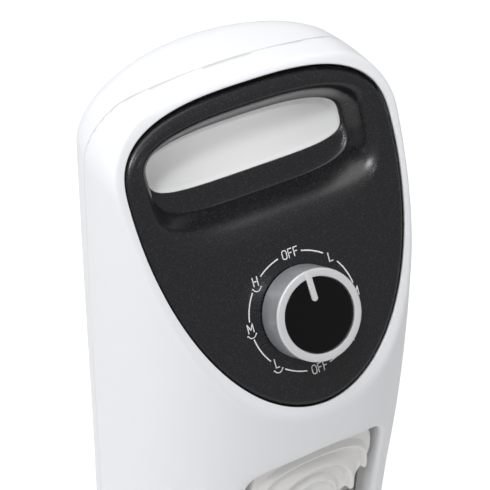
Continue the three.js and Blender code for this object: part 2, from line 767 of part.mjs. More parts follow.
function place(parent, name, shape, material, x = 0, y = 0, z = 0) {
  const geometry = shape.isBufferGeometry ? shape : geometryOf(shape);
  if (shape.isBufferGeometry) geometry.computeVertexNormals();
  const mesh = new THREE.Mesh(geometry, material);
  mesh.name = name;
  mesh.position.set(x, y, z);
  parent.add(mesh);
  return mesh;
}

function addShell() {
  const body = shellBody();
  place(heater, "front_shell", frontShell(body), whitePlastic);
  place(heater, "rear_shell", rearShell(body), whitePlastic);
  place(heater, "cable_gland", cableGland(), blackPlastic);
  shellScrewPlaces().forEach(([x, y, z], i) => {
    place(heater, `shell_screw_${i + 1}`, alongY(shellScrew(), 0, 0, 0), innerSteel, x, y, z);
  });
}

function addControls() {
  place(facet, "control_panel", controlPanel(), panelPlastic);
  place(facet, "hand_pocket", handPocket(), whitePlastic);
  place(facet, "rotary_switch", switchBody(), blackPlastic);
  place(facet, "knob_shaft", knobShaft(), innerSteel);
  place(facet, "knob_skirt", knobSkirt(), silverPlastic);
  place(facet, "knob_disc", knobDisc(), glossBlack);
  const pointer = place(facet, "knob_pointer", knobPointer(), silverPlastic);
  pointer.rotation.z = POINTER_TURN;
  heater.add(facet);
}

function addCore() {
  place(heater, "fin_1", frontFin(), finEnamel);
  for (let i = 1; i < FIN.count; i++) place(heater, `fin_${i + 1}`, oilFin(i), finEnamel);
  place(heater, "top_header", header(HEADER.high, FIN.front + 3), finEnamel);
  place(heater, "bottom_header", header(HEADER.low, FIN.front + 3), finEnamel);
  place(heater, "filler_plug", fillerPlug(), brass);
  place(heater, "flange_gasket", flangeGasket(), rubber);
  place(heater, "element_flange", elementFlange(), brass);
  place(heater, "heating_element", heatingElement(), innerSteel);
  place(heater, "thermal_cutout", thermalCutout(), blackPlastic);
}

function addFrame() {
  place(heater, "heat_baffle", heatBaffle(), innerSteel);
  place(heater, "top_bracket", topBracket(), innerSteel);
  place(heater, "bottom_bracket", bottomBracket(), innerSteel);
  place(heater, "column_floor", columnFloor(), blackPlastic);
  place(heater, "spindle", spindle(), innerSteel);
  place(heater, "retaining_ring", retainingRing(), innerSteel);
  place(heater, "terminal_block", terminalBlock(), acetal);
  place(heater, "live_lead", lead(LEAD_X[0], -5, TERMINALS.x + 3), leadSheath);
  place(heater, "neutral_lead", lead(LEAD_X[1], -12, TERMINALS.x - 3), leadSheath);
}

function addSwingDrive() {
  place(heater, "swing_motor", swingMotor(), innerSteel);
  place(heater, "crank_arm", crankArm(), acetal, 0, CRANK_AXIS_Y, 0);
  place(heater, "crank_pin", crankPin(), innerSteel, 0, CRANK_AXIS_Y + CRANK_THROW, 0);
}

function addBase() {
  place(heater, "base_cover", baseCover(), whitePlastic);
  place(heater, "base_plate", basePlate(), innerSteel);
  place(heater, "swivel_bush", swivelBush(), acetal);
  QUARTER_TURNS.forEach((turn, i) => {
    const [x, y] = onCircle(FOOT_CIRCLE, turn);
    place(heater, `foot_${i + 1}`, foot(), rubber, x, y, 0);
  });
  QUARTER_TURNS.forEach((turn, i) => {
    const [x, y] = onCircle(BASE_SCREW_RADIUS, turn);
    place(heater, `base_screw_${i + 1}`, baseScrew(), innerSteel, x, y, 0);
  });
  place(heater, "tip_switch", tipSwitch(), blackPlastic, 0, TIP_SWITCH_Y, 0);
  place(heater, "tip_plunger", tipPlunger(), acetal, 0, TIP_SWITCH_Y, 0);
  place(heater, "plunger_spring", plungerSpring(), innerSteel, 0, TIP_SWITCH_Y, 0);
}

addShell();
addControls();
addCore();
addFrame();
addSwingDrive();
addBase();

export default heater;
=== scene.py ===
import json
import math

import bmesh
import bpy
import numpy as np
from mathutils import Matrix, Vector


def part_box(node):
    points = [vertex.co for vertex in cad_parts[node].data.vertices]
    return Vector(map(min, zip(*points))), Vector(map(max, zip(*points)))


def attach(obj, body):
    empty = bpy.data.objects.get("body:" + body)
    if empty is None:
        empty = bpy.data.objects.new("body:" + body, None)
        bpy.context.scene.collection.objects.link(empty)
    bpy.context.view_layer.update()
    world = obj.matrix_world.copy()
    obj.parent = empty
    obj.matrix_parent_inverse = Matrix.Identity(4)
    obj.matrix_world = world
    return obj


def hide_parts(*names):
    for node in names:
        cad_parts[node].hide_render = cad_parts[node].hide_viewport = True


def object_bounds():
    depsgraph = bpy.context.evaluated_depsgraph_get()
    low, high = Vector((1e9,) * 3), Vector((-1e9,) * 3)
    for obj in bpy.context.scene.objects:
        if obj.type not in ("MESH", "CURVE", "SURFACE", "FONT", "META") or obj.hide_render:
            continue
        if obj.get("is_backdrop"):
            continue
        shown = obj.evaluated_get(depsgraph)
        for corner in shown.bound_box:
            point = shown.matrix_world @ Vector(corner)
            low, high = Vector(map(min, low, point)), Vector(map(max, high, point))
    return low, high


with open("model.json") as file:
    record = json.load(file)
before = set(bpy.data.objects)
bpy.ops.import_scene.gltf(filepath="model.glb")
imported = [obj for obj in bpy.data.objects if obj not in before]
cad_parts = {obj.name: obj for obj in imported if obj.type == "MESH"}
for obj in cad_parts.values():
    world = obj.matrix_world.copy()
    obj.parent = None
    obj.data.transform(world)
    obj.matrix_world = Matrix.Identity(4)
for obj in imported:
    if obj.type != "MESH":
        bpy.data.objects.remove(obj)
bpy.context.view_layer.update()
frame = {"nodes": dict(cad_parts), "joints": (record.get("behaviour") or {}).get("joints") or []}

# ---------------------------------------------------------------- camera
# It looks down on the control face from the front left, from about 0.81 m away, with a long
# lens and a slight roll. Everything on the face is measured from the dial's centre.
knob_joint = next(j for j in frame["joints"] if j["name"] == "knob_turn")
DIAL = Vector(knob_joint["pos_m"])
FACE_OUT = Vector(knob_joint["axis"]).normalized()
FACE_UP = Vector((0, FACE_OUT.z, -FACE_OUT.y))
MM = 0.001
CAMERA_TURN = math.radians(31.12)
CAMERA_DOWN = math.radians(42.66)
CAMERA_ROLL = math.radians(2.21)
CAMERA_FROM_DIAL = (-0.32113, -0.47617, 0.56885)
LENS_LENGTH, SENSOR_WIDTH = 127.35, 36

backward = Vector((
    -math.sin(CAMERA_TURN) * math.cos(CAMERA_DOWN),
    -math.cos(CAMERA_TURN) * math.cos(CAMERA_DOWN),
    math.sin(CAMERA_DOWN),
))
level = (-backward).cross(Vector((0, 0, 1))).normalized()
aim = Matrix((level, level.cross(-backward), backward)).transposed()
lens = bpy.data.cameras.new("camera")
lens.sensor_width = SENSOR_WIDTH
lens.lens = LENS_LENGTH
lens.clip_start = 0.05
camera = bpy.data.objects.new("camera", lens)
camera.matrix_world = (aim @ Matrix.Rotation(CAMERA_ROLL, 3, "Z")).to_4x4()
camera.location = DIAL + Vector(CAMERA_FROM_DIAL)
bpy.context.scene.collection.objects.link(camera)
bpy.context.scene.camera = camera


# ---------------------------------------------------------------- floor and light
# A white floor under an even sky. A small soft key stands high at the front left, with a broad
# light behind on the left and one overhead, so that the front falls into a light grey.
def colour(code):
    """An sRGB hex colour as linear RGBA."""
    shares = [int(code[i:i + 2], 16) / 255 for i in (1, 3, 5)]
    return [s / 12.92 if s <= 0.04045 else ((s + 0.055) / 1.055) ** 2.4 for s in shares] + [1]


def add_node(tree, kind, settings=None, links=None):
    """A node with its settings, by attribute or socket name, and the sockets that feed it."""
    node = tree.nodes.new(kind)
    for key, value in (settings or {}).items():
        if isinstance(key, str) and hasattr(node, key):
            setattr(node, key, value)
        else:
            node.inputs[key].default_value = value
    for key, source in (links or {}).items():
        tree.links.new(source, node.inputs[key])
    return node


def new_material(name, base, roughness, **uniform):
    """A material of one Principled shader, with its uniform values set on the sockets."""
    made = bpy.data.materials.new(name)
    made.use_nodes = True
    shader = made.node_tree.nodes["Principled BSDF"]
    shader.inputs["Base Color"].default_value = colour(base)
    shader.inputs["Roughness"].default_value = roughness
    for key, value in uniform.items():
        shader.inputs[key.replace("_", " ")].default_value = value
    return made, made.node_tree, shader


def add_noise(tree, scale, detail):
    """The strength of a noise that runs through the piece, its scale in grains to the metre."""
    place = add_node(tree, "ShaderNodeTexCoord")
    return add_node(tree, "ShaderNodeTexNoise", {"Scale": scale, "Detail": detail},
                    {"Vector": place.outputs["Object"]}).outputs["Fac"]


def two_tones(tree, shader, share, one, other):
    """A base colour between two tones."""
    tone = add_node(tree, "ShaderNodeMix", {"data_type": "RGBA"}, {"Factor": share})
    tone.inputs["A"].default_value = colour(one)
    tone.inputs["B"].default_value = colour(other)
    tree.links.new(tone.outputs["Result"], shader.inputs["Base Color"])


def vary_gloss(tree, shader, share, low, high):
    """A roughness between two values."""
    gloss = add_node(tree, "ShaderNodeMapRange", {"To Min": low, "To Max": high}, {"Value": share})
    tree.links.new(gloss.outputs["Result"], shader.inputs["Roughness"])


def add_bump(tree, shader, height, strength, distance):
    """A fine relief, its distance in metres."""
    bump = add_node(tree, "ShaderNodeBump", {"Strength": strength, "Distance": distance},
                    {"Height": height})
    tree.links.new(bump.outputs["Normal"], shader.inputs["Normal"])


FLOOR_SIZE = 6
floor_mesh = bmesh.new()
bmesh.ops.create_grid(floor_mesh, x_segments=1, y_segments=1, size=FLOOR_SIZE)
floor_data = bpy.data.meshes.new("floor")
floor_mesh.to_mesh(floor_data)
floor = bpy.data.objects.new("floor", floor_data)
bpy.context.scene.collection.objects.link(floor)
# White acrylic. The glow that keeps it white only shows to the viewer, and lights nothing.
FLOOR_GLOW = 0.42
white_floor, tree, shader = new_material("opal acrylic floor, matt white", "#f6f6f6", 0.9)
seen = add_node(tree, "ShaderNodeLightPath")
glow = add_node(tree, "ShaderNodeMath", {"operation": "MULTIPLY", 1: FLOOR_GLOW},
                {0: seen.outputs["Is Camera Ray"]})
tree.links.new(glow.outputs[0], shader.inputs["Emission Strength"])
floor.data.materials.append(white_floor)
floor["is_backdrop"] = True

sky = bpy.data.worlds.new("studio")
sky.use_nodes = True
bpy.context.scene.world = sky
SKY_TOWARDS = (-0.42, 0.15, 0.895)  # the brightest part of the sky: overhead, to the left
SKY_DIM, SKY_BRIGHT = 0.43, 0.50
SKY_FALL = 1.5  # how quickly it dims away from there
BACKDROP = 1.0  # what the viewer sees of the sky, in place of its real strength
tree = sky.node_tree
way = add_node(tree, "ShaderNodeTexCoord")
facing = add_node(tree, "ShaderNodeVectorMath", {"operation": "DOT_PRODUCT", 1: SKY_TOWARDS},
                  {0: way.outputs["Generated"]})
above = add_node(tree, "ShaderNodeMath", {"operation": "MAXIMUM", 1: 0.0},
                 {0: facing.outputs["Value"]})
curve = add_node(tree, "ShaderNodeMath", {"operation": "POWER", 1: SKY_FALL},
                 {0: above.outputs[0]})
strength = add_node(tree, "ShaderNodeMapRange", {"To Min": SKY_DIM, "To Max": SKY_BRIGHT},
                    {"Value": curve.outputs[0]})
seen = add_node(tree, "ShaderNodeLightPath")
shown = add_node(tree, "ShaderNodeMix", {"data_type": "FLOAT", "B": BACKDROP},
                 {"Factor": seen.outputs["Is Camera Ray"], "A": strength.outputs["Result"]})
tree.nodes["Background"].inputs["Color"].default_value = colour("#fcfcfe")
tree.links.new(shown.outputs["Result"], tree.nodes["Background"].inputs["Strength"])
bpy.context.scene.view_settings.view_transform = "Standard"


def hang_light(name, lamp, place, target):
    """Hangs a lamp at a place, pointing at its target."""
    holder = bpy.data.objects.new(name, lamp)
    holder.location = place
    holder.rotation_euler = (Vector(target) - Vector(place)).to_track_quat("-Z", "Y").to_euler()
    bpy.context.scene.collection.objects.link(holder)


SOFT_LIGHTS = (  # name, place, width and height in metres, and watts
    ("key", (-0.92, -0.75, 2.4), (0.45, 0.45), 14),
    ("left", (-1.9, 0.9, 1.0), (1.2, 1.6), 10),
    ("top", (-0.2, 0.2, 2.5), (1.8, 1.4), 17),
)
for name, place, (wide, tall), power in SOFT_LIGHTS:
    lamp = bpy.data.lights.new(name, "AREA")
    lamp.shape = "RECTANGLE"
    lamp.size, lamp.size_y = wide, tall
    lamp.energy = power
    hang_light(name, lamp, place, DIAL)

# A narrow soft spot shines straight into the hand pocket, which would look grey without it.
SPOT_FROM_POCKET = (-0.1, -0.58, 0.69)
SPOT_ANGLE = math.radians(9.5)
pocket_spot = bpy.data.lights.new("pocket", "SPOT")
pocket_spot.energy = 6
pocket_spot.spot_size, pocket_spot.spot_blend = SPOT_ANGLE, 1.0
pocket_spot.shadow_soft_size = 0.04
pocket_low, pocket_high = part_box("hand_pocket")
pocket_centre = (pocket_low + pocket_high) / 2
hang_light("pocket", pocket_spot, pocket_centre + Vector(SPOT_FROM_POCKET), pocket_centre)

# ---------------------------------------------------------------- column shells
# Two white ABS mouldings, 2.5 mm thick, that meet in an upright joint round the sides and are
# held by four screws from behind. The front one has the sloping face for the controls and the
# window for the fin. The plan is a superellipse, and the crown rolls over to the back.
COLUMN_POWER = 2.3
COLUMN_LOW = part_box("front_shell")[0].z / MM - DIAL.z / MM
SHELL_WALL = 2.5
FACE_EDGE_RADIUS = 1.4
CROWN_RISE = 95.3
CROWN_FALL = 0.08
CROWN_ARC = 302
CROWN_EDGE = (24, 112)  # its radius at the front and at the back
SEAM_GAP = 0.3
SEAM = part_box("rear_shell")[0].y / MM - SEAM_GAP / 2
ANCHOR = np.array([0, 57, 4])  # a point inside the head that sees all of its surface
WAIST = -60  # below the dial, where the head ends and the straight column begins
HEAD_ROWS = 44
COLUMN_ROWS = 128
COLUMN_COLUMNS = 224
out_mm = np.array(FACE_OUT)
up_mm = np.array(FACE_UP)
dial_mm = np.array(DIAL) / MM


def smooth_step(share):
    """A share from 0 to 1, eased at both ends."""
    share = np.clip(share, 0, 1)
    return share * share * (3 - 2 * share)


def rounded_meet(f, g, radius):
    """Signed distance to two faces that meet in a rounded edge."""
    corner = np.hypot(np.maximum(f + radius, 0), np.maximum(g + radius, 0))
    return np.minimum(np.maximum(f, g), -radius) + corner


def column_at(points):
    """Signed distance, negative inside, to the column's outer surface, in mm from the dial."""
    x, y, z = points.T
    bend = -1.2
    u = np.maximum(z / 100, bend) - 0.25 * (1 - np.exp(np.minimum(z / 100 - bend, 0) / 0.25))
    front = -25.4 + 9.06 * u + 6.24 * u * u
    back = 137.2 + 0.67 * u
    half = 75.6 - 0.54 * u - 1.09 * u * u
    middle, deep = (front + back) / 2, (back - front) / 2
    across = np.abs(x / half) ** COLUMN_POWER + np.abs((y - middle) / deep) ** COLUMN_POWER
    wall = (across ** (1 / COLUMN_POWER) - 1) * (half + deep) / 2
    crown = z - (CROWN_RISE - CROWN_FALL * (y - 62) - x * x / (2 * CROWN_ARC))
    edge = CROWN_EDGE[0] + (CROWN_EDGE[1] - CROWN_EDGE[0]) * smooth_step((y - 90) / 60)
    return rounded_meet(rounded_meet(wall, crown, edge), points @ out_mm, FACE_EDGE_RADIUS)


def meet_column(start, direction, far=300.0):
    """Where rays from points inside the column leave it."""
    low, high = np.zeros(len(start)), np.full(len(start), far)
    for _ in range(42):
        middle = (low + high) / 2
        inside = column_at(start + direction * middle[:, None]) < 0
        low, high = np.where(inside, middle, low), np.where(inside, high, middle)
    return start + direction * low[:, None]


def on_face(x, s, out=0.0):
    """Points of the control face, across it and up it, in mm from the dial."""
    x, s, out = np.broadcast_arrays(x, s, out)
    return np.outer(x, [1, 0, 0]) + np.outer(s, up_mm) + np.outer(out, out_mm)


def power_oval(turn, half, up, down, power_up, power_down, centre):
    """An oval of two half superellipses that share their widest line."""
    c, s = np.cos(turn), np.sin(turn)
    power = np.where(s > 0, power_up, power_down)
    reach = np.where(s > 0, up, down)
    x = half * np.sign(c) * np.abs(c) ** (2 / power)
    return x, centre + reach * np.sign(s) * np.abs(s) ** (2 / power)


PANEL_OVAL = (69.1, 38.5, 117.5, 2.8, 2.0)  # half width, up, down, and the two powers
PANEL_CENTRE = 72


def panel_oval(turn, grow):
    """The outline of the control face, grown by so many mm."""
    half, up, down, power_up, power_down = PANEL_OVAL
    return power_oval(turn, half + grow, up + grow, down + grow, power_up, power_down, PANEL_CENTRE)


def wrapped_grid(columns, rows, place, scale=MM, shift=DIAL):
    """A grid bent into a tube. place takes the shares round and along, and gives points in mm."""
    bm = bmesh.new()
    bmesh.ops.create_grid(bm, x_segments=columns, y_segments=rows, size=1)
    shares = np.array([v.co for v in bm.verts])[:, :2]
    shares = (shares - shares.min(0)) / np.ptp(shares, axis=0)
    points = place(shares[:, 0], shares[:, 1])
    for vertex, point in zip(bm.verts, points):
        vertex.co = Vector(point) * scale + shift
    bmesh.ops.remove_doubles(bm, verts=bm.verts, dist=2e-6)
    return bm


def add_piece(name, bm, material, body, replaced=(), smooth=None):
    """Makes the object, shades it and ties it to its body and its CAD nodes."""
    data = bpy.data.meshes.new(name)
    bm.to_mesh(data)
    bm.free()
    data.polygons.foreach_set("use_smooth", [True] * len(data.polygons))
    if smooth is not None:
        data.set_sharp_from_angle(angle=math.radians(smooth))
    made = bpy.data.objects.new(name, data)
    bpy.context.scene.collection.objects.link(made)
    data.materials.append(material)
    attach(made, body)
    if replaced:
        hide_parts(*replaced)
    return made


def head_and_column(turn, along):
    """The outer skin: from the face's rim over the head, then straight down the column."""
    angle = turn * math.tau
    rim = on_face(*panel_oval(angle, 0.3))
    flat = np.stack([np.cos(angle), np.sin(angle), np.zeros_like(angle)], 1)
    axis_point = np.array([0.0, ANCHOR[1], WAIST])
    waist = meet_column(np.broadcast_to(axis_point, flat.shape), flat)
    row = along * (HEAD_ROWS + COLUMN_ROWS)
    share = np.clip(row / HEAD_ROWS, 0, 1) ** 1.6
    a, b = rim - ANCHOR, waist - ANCHOR
    a /= np.linalg.norm(a, axis=1)[:, None]
    b /= np.linalg.norm(b, axis=1)[:, None]
    span = np.arccos(np.clip((a * b).sum(1), -1, 1))
    turned = (np.sin((1 - share) * span)[:, None] * a + np.sin(share * span)[:, None] * b)
    turned /= np.sin(span)[:, None]
    head = meet_column(np.broadcast_to(ANCHOR, a.shape), turned)
    drop = np.clip((row - HEAD_ROWS) / COLUMN_ROWS, 0, 1)
    axis = np.stack([np.zeros_like(drop), np.full_like(drop, ANCHOR[1]),
                     WAIST + (COLUMN_LOW - WAIST) * drop], 1)
    column = meet_column(axis, flat)
    return np.where((row > HEAD_ROWS + 0.5)[:, None], column, head)


shell = wrapped_grid(COLUMN_COLUMNS, HEAD_ROWS + COLUMN_ROWS, head_and_column)
bmesh.ops.recalc_face_normals(shell, faces=shell.faces)

# The window has an arched top and a soft lip that turns back into a plain wall.
WINDOW_HALF, WINDOW_CORNER, WINDOW_ARCH = 38.6, 18, 66
WINDOW_LOW, WINDOW_HIGH = 66, 434
WINDOW_WALL_END = dial_mm[1] - 25.4 + 22
WINDOW_LIP = ((2.5, 0.0), (1.6, 0.2), (0.8, 0.7), (0.25, 1.5), (0, 2.6))  # outwards, and back


def window_outline():
    """Points of the opening's edge and the way out from each, half a millimetre apart."""
    c, r = WINDOW_CORNER, WINDOW_ARCH
    x = WINDOW_HALF - c
    lean = math.asin(x / (r - c))
    arch_z = WINDOW_HIGH - r
    shoulder = arch_z + (r - c) * math.cos(lean)
    low = WINDOW_LOW + c
    arcs = [(x, low, c, -90, 0), (x, shoulder, c, 0, 90 - math.degrees(lean)),
            (0, arch_z, r, 90 - math.degrees(lean), 90 + math.degrees(lean)),
            (-x, shoulder, c, 90 + math.degrees(lean), 180), (-x, low, c, 180, 270)]
    points, ways = [], []
    for cx, cz, radius, start, end in arcs:
        steps = max(6, int(radius * math.radians(end - start) / 0.5))
        angle = np.radians(np.linspace(start, end, steps))
        way = np.stack([np.cos(angle), np.sin(angle)], 1)
        corner = np.array([cx, cz]) + radius * way
        if points:
            joint = np.linspace(points[-1][-1], corner[0], 700)[1:-1]
            points.append(joint)
            ways.append(np.repeat(way[:1], len(joint), 0))
        points.append(corner)
        ways.append(way)
    closing = np.linspace(points[-1][-1], points[0][0], 160)[1:-1]
    points.append(closing)
    ways.append(np.repeat([[0.0, -1.0]], len(closing), 0))
    return np.concatenate(points), np.concatenate(ways)


def front_surface(x, z):
    """The column's front at points across and up, in mm of the whole heater."""
    inside = np.stack([x, np.full_like(x, ANCHOR[1]), z - dial_mm[2]], 1)
    forward = np.broadcast_to([0.0, -1.0, 0.0], inside.shape)
    return meet_column(inside, forward)[:, 1] + dial_mm[1]


edge_points, edge_ways = window_outline()
lip_points = edge_points + edge_ways * WINDOW_LIP[0][0]
WINDOW_REACH = 42  # faces further across than this, or
WINDOW_MARGIN = 5  # this far above or below the opening, stay
LOOP_MARGIN = 8  # the cut edge lies no further above or below it than this


def nearest_station(x, z, line):
    """The index of the outline's point that is closest."""
    return int(np.argmin((line[:, 0] - x) ** 2 + (line[:, 1] - z) ** 2))


def inside_window(face):
    """Whether a face of the skin lies inside the opening and its lip."""
    centre = face.calc_center_median() / MM
    if not WINDOW_LOW - WINDOW_MARGIN < centre.z < WINDOW_HIGH + WINDOW_MARGIN:
        return False
    if centre.y > 0 or abs(centre.x) > WINDOW_REACH:
        return False
    station = nearest_station(centre.x, centre.z, lip_points)
    way = np.array([centre.x, centre.z]) - lip_points[station]
    return float(way @ edge_ways[station]) < 0


def window_loop():
    """The open edges of the skin round the window."""
    lowest, highest = (WINDOW_LOW - LOOP_MARGIN) * MM, (WINDOW_HIGH + LOOP_MARGIN) * MM
    return [e for e in shell.edges if e.is_boundary and lowest < e.verts[0].co.z < highest]


bmesh.ops.delete(shell, geom=[f for f in shell.faces if inside_window(f)], context="FACES")
loop = window_loop()
station_layer = shell.verts.layers.int.new("station")
loop_verts = list({v for e in loop for v in e.verts})
for vertex in loop_verts:
    x, z = vertex.co.x / MM, vertex.co.z / MM
    vertex[station_layer] = nearest_station(x, z, lip_points)
lip_front = front_surface(lip_points[:, 0], lip_points[:, 1])
for vertex in loop_verts:
    k = vertex[station_layer]
    vertex.co = Vector((lip_points[k, 0], lip_front[k], lip_points[k, 1])) * MM
bmesh.ops.remove_doubles(shell, verts=loop_verts, dist=1e-4)
loop = window_loop()
for grow, back in (*WINDOW_LIP[1:], (0, None)):
    grown = bmesh.ops.extrude_edge_only(shell, edges=loop)["geom"]
    loop = [g for g in grown if isinstance(g, bmesh.types.BMEdge) and g.is_boundary]
    ring = edge_points + edge_ways * grow
    for vertex in {v for e in loop for v in e.verts}:
        k = vertex[station_layer]
        y = WINDOW_WALL_END if back is None else lip_front[k] + back
        vertex.co = Vector((ring[k, 0], y, ring[k, 1])) * MM
bmesh.ops.recalc_face_normals(shell, faces=shell.faces)

# Injection-moulded ABS in a cool white: a satin skin with a fine spark-eroded texture, whose
# gloss drifts a little over the part.
ABS_GRAIN = 0.35  # mm, drawn a little coarser than the real 0.1 mm so that it shows
white_abs, tree, shader = new_material("moulded ABS, cool white satin", "#f1f2f4", 0.36)
vary_gloss(tree, shader, add_noise(tree, 14.0, 2.0), 0.32, 0.42)
add_bump(tree, shader, add_noise(tree, 1 / (ABS_GRAIN * MM), 2.0), 0.06, 0.00006)



def give_wall(piece, thickness):
    """Thickens an open sheet inwards, by so many mm."""
    wall = piece.modifiers.new("wall", "SOLIDIFY")
    wall.thickness = thickness * MM
    wall.offset = -1


def half_of_shell(name, side):
    """One shell: the part of the column on one side of the joint, given its wall."""
    bm = shell.copy()
    cut = (SEAM + side * SEAM_GAP / 2) * MM
    bmesh.ops.bisect_plane(bm, geom=[*bm.verts, *bm.edges, *bm.faces], plane_co=(0, cut, 0),
                           plane_no=(0, -side, 0), clear_outer=True)
    piece = add_piece(name, bm, white_abs, "column", [name])
    give_wall(piece, SHELL_WALL)
    return piece


front_shell = half_of_shell("front_shell", -1)
rear_shell = half_of_shell("rear_shell", 1)
shell.free()


def apply_modifiers(piece):
    """Bakes the piece's modifiers into its mesh."""
    bpy.context.view_layer.update()
    finished = piece.evaluated_get(bpy.context.evaluated_depsgraph_get())
    piece.data = bpy.data.meshes.new_from_object(finished)
    piece.modifiers.clear()


def cut_away(piece, cutter_mesh):
    """Cuts the shape of a bmesh out of the piece, after its own wall is made."""
    data = bpy.data.meshes.new("cutter")
    cutter_mesh.to_mesh(data)
    cutter_mesh.free()
    cutter = bpy.data.objects.new("cutter", data)
    bpy.context.scene.collection.objects.link(cutter)
    cut = piece.modifiers.new("cut", "BOOLEAN")
    cut.object = cutter
    cut.solver = "EXACT"
    apply_modifiers(piece)
    bpy.data.objects.remove(cutter)
    piece.data.polygons.foreach_set("use_smooth", [True] * len(piece.data.polygons))
    piece.data.set_sharp_from_angle(angle=math.radians(35))


def add_block(bm, low, high):
    """A block between two corners, in mm. Returns its vertices."""
    low, high = Vector(low), Vector(high)
    place = Matrix.Translation((low + high) / 2 * MM) @ Matrix.Diagonal((*((high - low) * MM), 1))
    return bmesh.ops.create_cube(bm, size=1, matrix=place)["verts"]


def round_edges(bm, verts, along, radius, segments=5):
    """Rounds the edges of a block that run along one axis."""
    edges = {e for v in verts for e in v.link_edges}
    chosen = [e for e in edges
              if abs((e.verts[0].co - e.verts[1].co).normalized()[along]) > 0.9]
    bmesh.ops.bevel(bm, geom=chosen, offset=radius * MM, affect="EDGES", segments=segments,
                    profile=0.5, material=-1)


def turned(bm, profile, steps=96, matrix=Matrix.Identity(4)):
    """A profile of radius and height in mm turned about the Z axis, then placed."""
    before = set(bm.verts)
    ends_apart = profile[0] != profile[-1]
    chain = [bm.verts.new((r * MM, 0, h * MM)) for r, h in (profile if ends_apart else profile[:-1])]
    edges = [bm.edges.new(pair) for pair in zip(chain, chain[1:])]
    if not ends_apart:
        edges.append(bm.edges.new((chain[-1], chain[0])))
    bmesh.ops.spin(bm, geom=[*chain, *edges], cent=(0, 0, 0), axis=(0, 0, 1),
                   angle=math.tau, steps=steps, use_merge=True)
    made = [v for v in bm.verts if v not in before]
    bmesh.ops.remove_doubles(bm, verts=made, dist=1e-6)
    made = [v for v in bm.verts if v not in before]
    bmesh.ops.recalc_face_normals(bm, faces=list({f for v in made for f in v.link_faces}))
    bmesh.ops.transform(bm, matrix=matrix, verts=made)
    return made


# The back has two stacks of air slots, four screw wells and the hole for the lead.
LOUVRE_HALF, LOUVRE_TALL, LOUVRE_PITCH = 24, 4, 9
LOUVRE_LOWS = (120, 390)
screw_boxes = [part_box(f"shell_screw_{i}") for i in range(1, 5)]
SCREW_WELL_RADIUS, SCREW_HEAD_TALL = 4.3, 2.2
GLAND_HOLE_RADIUS = 6.3
gland_low, gland_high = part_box("cable_gland")
ALONG_Y = Matrix.Rotation(math.radians(-90), 4, "X")
cutters = bmesh.new()
for stack_low in LOUVRE_LOWS:
    for row in range(4):
        z = stack_low + LOUVRE_PITCH * row
        block = add_block(cutters, (-LOUVRE_HALF, SEAM + 20, z), (LOUVRE_HALF, 120, z + LOUVRE_TALL))
        round_edges(cutters, block, 1, 1.9)
for low, high in screw_boxes:
    head = Vector(((low.x + high.x) / 2, high.y - SCREW_HEAD_TALL * MM, (low.z + high.z) / 2))
    turned(cutters, [(0, 0), (SCREW_WELL_RADIUS, 0), (SCREW_WELL_RADIUS, 12), (0, 12)], 40,
           Matrix.Translation(head) @ ALONG_Y)
gland_at = Vector((0, gland_low.y, (gland_low.z + gland_high.z) / 2))
turned(cutters, [(0, -5), (GLAND_HOLE_RADIUS, -5), (GLAND_HOLE_RADIUS, 25), (0, 25)], 48,
       Matrix.Translation(gland_at) @ ALONG_Y)
cut_away(rear_shell, cutters)
apply_modifiers(front_shell)

# ---------------------------------------------------------------- control panel
# One charcoal moulding set into the sloping face, 0.3 mm clear all round. Its edge is rolled,
# and its upper part dips into a finger pocket, over which a rounded bar is left as the grip.
POCKET_CENTRE = 82
PANEL_SINK = 0.3  # the face of the panel sits this far under the rim
# half width, up, down, power below, and the depth at the lower side, the ends and the upper side
POCKET_RINGS = (
    (51.5, 12.3, 13.0, 4.4, 18.5, 18.5, 18.5),
    (51.5, 12.3, 13.0, 4.4, 17.2, 17.2, 17.2),
    (51.7, 12.5, 13.2, 4.4, 16.6, 16.7, 16.7),
    (52.3, 12.9, 14.0, 4.4, 16.5, 16.3, 16.3),
    (53.0, 13.5, 22.6, 4.4, 16.5, 15.0, 15.2),
    (53.5, 14.0, 23.8, 4.4, 16.1, 13.2, 13.8),
    (54.1, 14.6, 24.7, 4.4, 14.9, 10.8, 11.6),
    (54.9, 15.3, 27.6, 4.4, 11.2, 7.4, 8.6),
    (55.8, 16.1, 30.4, 4.3, 7.8, 4.8, 5.8),
    (56.8, 16.9, 32.4, 4.2, 5.6, 3.2, 3.6),
    (58.0, 17.8, 35.2, 4.1, 3.4, 1.8, 2.0),
    (59.5, 18.8, 39.2, 3.9, 1.2, 0.7, 1.0),
    (60.4, 19.2, 41.4, 3.8, 0.35, 0.25, 0.7),
    (61.6, 19.6, 44.0, 3.7, 0.0, 0.0, 0.5),
)
# inset from the outline below and at the top, and the depth below and at the top
EDGE_RINGS = (
    (5.0, 6.6, 0.0, 0.4),
    (3.0, 5.0, 0.0, 0.7),
    (1.8, 3.2, 0.2, 1.4),
    (0.8, 1.6, 0.9, 2.6),
    (0.3, 0.6, 2.1, 4.0),
    (0.0, 0.0, 3.6, 5.4),
)
FLAT_RINGS = 3
PANEL_COLUMNS = 192
PANEL_WALL = 1.8
SHAFT_HOLE_RADIUS = 3.3


def ring_depth(turn, below, ends, above):
    """How deep a ring lies at each place round it, from its lower side, ends and upper side."""
    s = np.sin(turn)
    return ends + np.where(s < 0, below - ends, above - ends) * s * s


